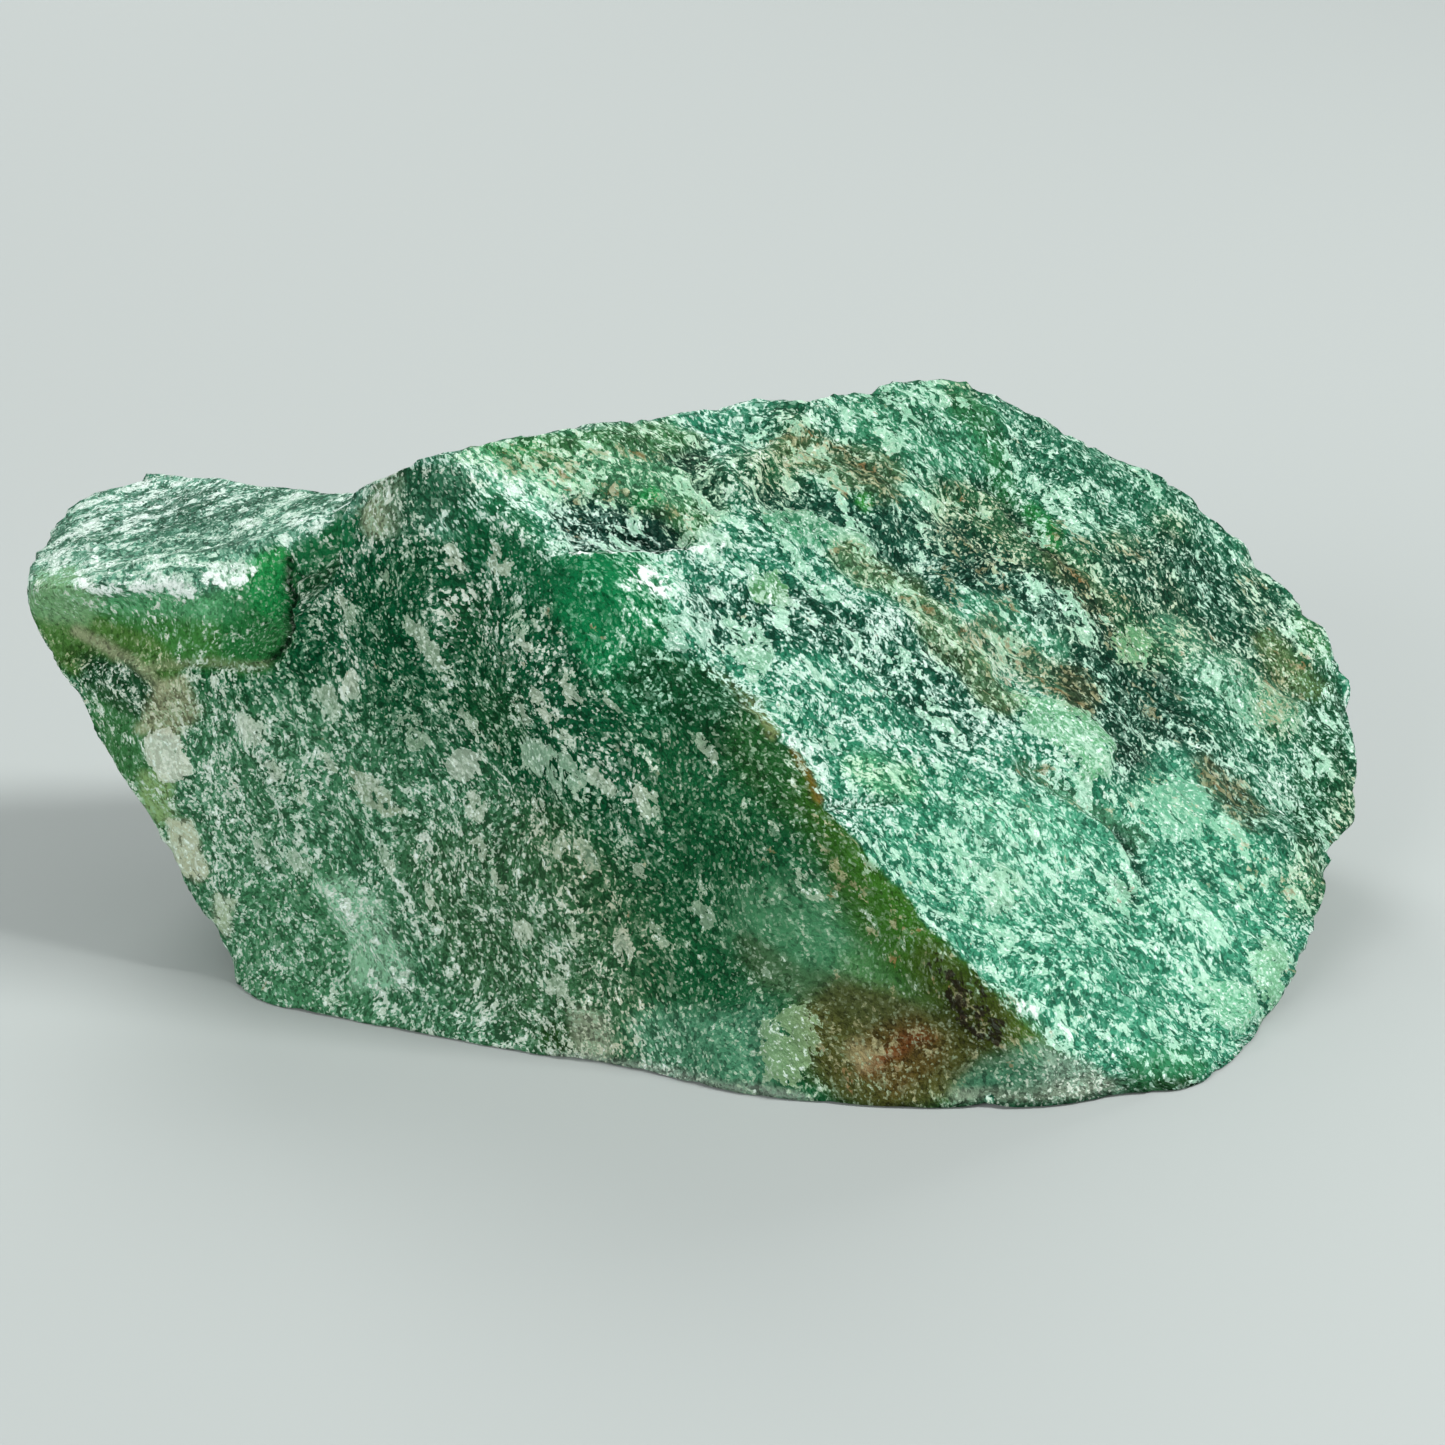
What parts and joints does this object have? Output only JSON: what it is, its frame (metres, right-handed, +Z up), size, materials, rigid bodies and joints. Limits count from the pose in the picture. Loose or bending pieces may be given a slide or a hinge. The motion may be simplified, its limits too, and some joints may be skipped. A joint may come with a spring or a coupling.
{
  "type": "raw aventurine",
  "caption": "Rough broken lump of green aventurine quartz with flat fracture faces, a streaky slope and a low ledge, resting on its flat underside.",
  "frame": {"origin": "centre of the footprint of the stone's bounding box, on the surface it lies on", "axes": "+Z up, +X along the stone's length from the low ledge to the toe of the slope, -Y toward the long speckled break"},
  "size_m": [0.1544, 0.0826, 0.0648],
  "materials": {
    "aventurine": "rough broken quartz with a faint waxy shine"
  },
  "bodies": {
    "root": {"aventurine": "aventurine"}
  },
  "joints": []
}
